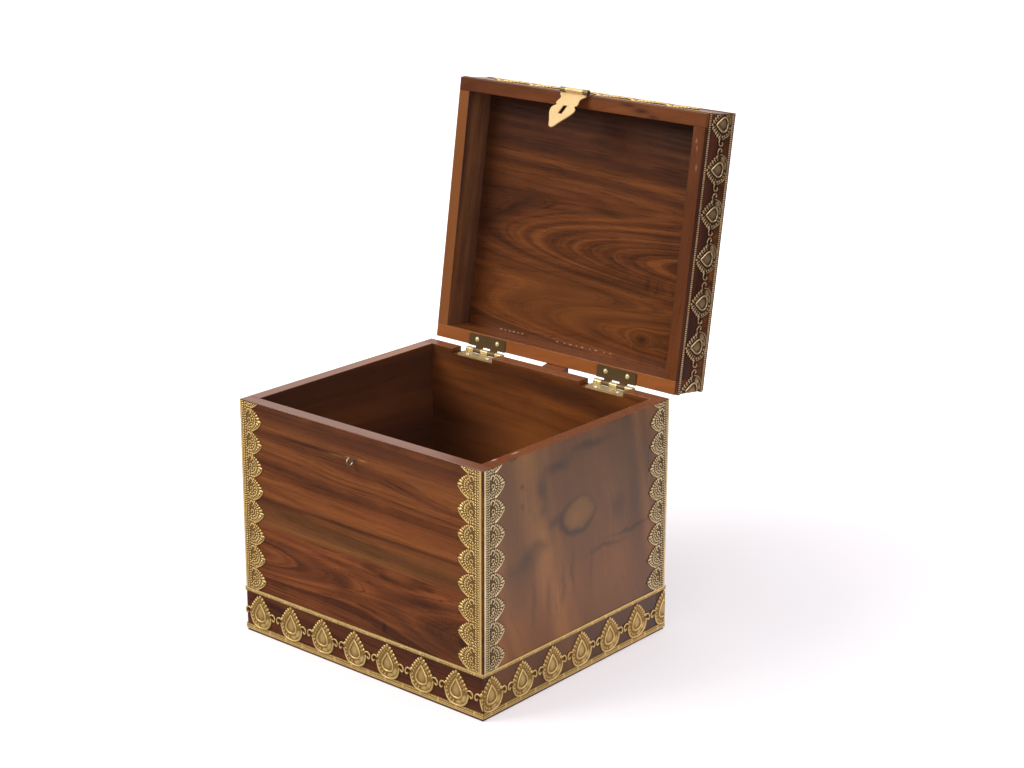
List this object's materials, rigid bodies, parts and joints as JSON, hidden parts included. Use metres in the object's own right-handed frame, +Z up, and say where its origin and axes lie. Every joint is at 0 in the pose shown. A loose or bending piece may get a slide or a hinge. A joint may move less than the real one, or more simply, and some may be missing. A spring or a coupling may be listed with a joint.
{
  "type": "damchiya chest",
  "caption": "Hinged wooden box with embossed brass trims, standing open, with a swinging hasp on the lid and a staple eye on the front.",
  "frame": {"origin": "centre of the underside of the base, on the plane it stands on", "axes": "+Z up, -Y towards the front with the staple eye, +X to the right as seen from the front, along the lid's axis"},
  "size_m": [0.3232, 0.3898, 0.532],
  "materials": {
    "front_lower_wood": "satin lacquer",
    "front_upper_wood": "satin lacquer",
    "back_wood": "satin lacquer",
    "left_wood": "satin lacquer",
    "right_wood": "satin lacquer",
    "bottom_wood": "satin lacquer",
    "stop_wood": "satin lacquer",
    "lid_front_wood": "satin lacquer",
    "lid_back_wood": "satin lacquer",
    "lid_left_wood": "satin lacquer",
    "lid_right_wood": "satin lacquer",
    "lid_top_wood": "satin lacquer",
    "strip_brass": "stamped, satin",
    "border_brass": "stamped, satin",
    "chain_brass": "stamped, satin",
    "hinge_base_brass": "drawn, satin",
    "hinge_lid_brass": "tarnished",
    "hinge_pin_brass": "drawn",
    "screw_brass": "bright",
    "hasp_plate_brass": "satin",
    "hasp_strap_brass": "matt",
    "hasp_pin_steel": "dark",
    "nail_brass": "bright",
    "staple_brass": "drawn"
  },
  "bodies": {
    "base": {"base_front_lower_board": "front_lower_wood", "base_front_upper_board": "front_upper_wood", "base_back_panel": "back_wood", "base_left_panel": "left_wood", "base_right_panel": "right_wood", "base_bottom_board": "bottom_wood", "lid_stop_block": "stop_wood", "staple_eye": "staple_brass", "base_upper_border": "border_brass", "base_lower_border": "border_brass", "base_drop_chain": "chain_brass", "hinge_base_screws": "screw_brass", "front_left_corner_strip": "strip_brass", "front_right_corner_strip": "strip_brass", "right_front_corner_strip": "strip_brass", "right_back_corner_strip": "strip_brass", "back_right_corner_strip": "strip_brass", "back_left_corner_strip": "strip_brass", "left_back_corner_strip": "strip_brass", "left_front_corner_strip": "strip_brass", "left_hinge_base_leaf": "hinge_base_brass", "left_hinge_pin": "hinge_pin_brass", "right_hinge_base_leaf": "hinge_base_brass", "right_hinge_pin": "hinge_pin_brass"},
    "lid": {"lid_front_rail": "lid_front_wood", "lid_back_rail": "lid_back_wood", "lid_left_rail": "lid_left_wood", "lid_right_rail": "lid_right_wood", "lid_top_board": "lid_top_wood", "lid_lower_border": "border_brass", "lid_upper_border": "border_brass", "lid_front_chain": "chain_brass", "lid_right_chain": "chain_brass", "lid_back_chain": "chain_brass", "lid_left_chain": "chain_brass", "lid_top_front_strip": "strip_brass", "lid_top_back_strip": "strip_brass", "lid_top_left_strip": "strip_brass", "lid_top_right_strip": "strip_brass", "hasp_lid_plate": "hasp_plate_brass", "hasp_plate_nails": "nail_brass", "left_hinge_lid_leaf": "hinge_lid_brass", "right_hinge_lid_leaf": "hinge_lid_brass", "hinge_lid_screws": "screw_brass"},
    "hasp": {"hasp_pin": "hasp_pin_steel", "hasp_strap": "hasp_strap_brass"}
  },
  "joints": [
    {"name": "lid_hinge", "type": "hinge", "parent": "base", "child": "lid", "pos_m": [0, 0.1445, 0.2452], "axis": [1, 0, 0], "range_deg": [0, 98.5]},
    {"name": "hasp_hinge", "type": "hinge", "parent": "lid", "child": "hasp", "pos_m": [-0.003, 0.18729, 0.5295], "axis": [-1, 0, 0], "range_deg": [0, 68.5]}
  ],
  "couplings": [
    {"joint": "hasp_hinge", "follows": "lid_hinge", "ratio": 0.69543}
  ]
}
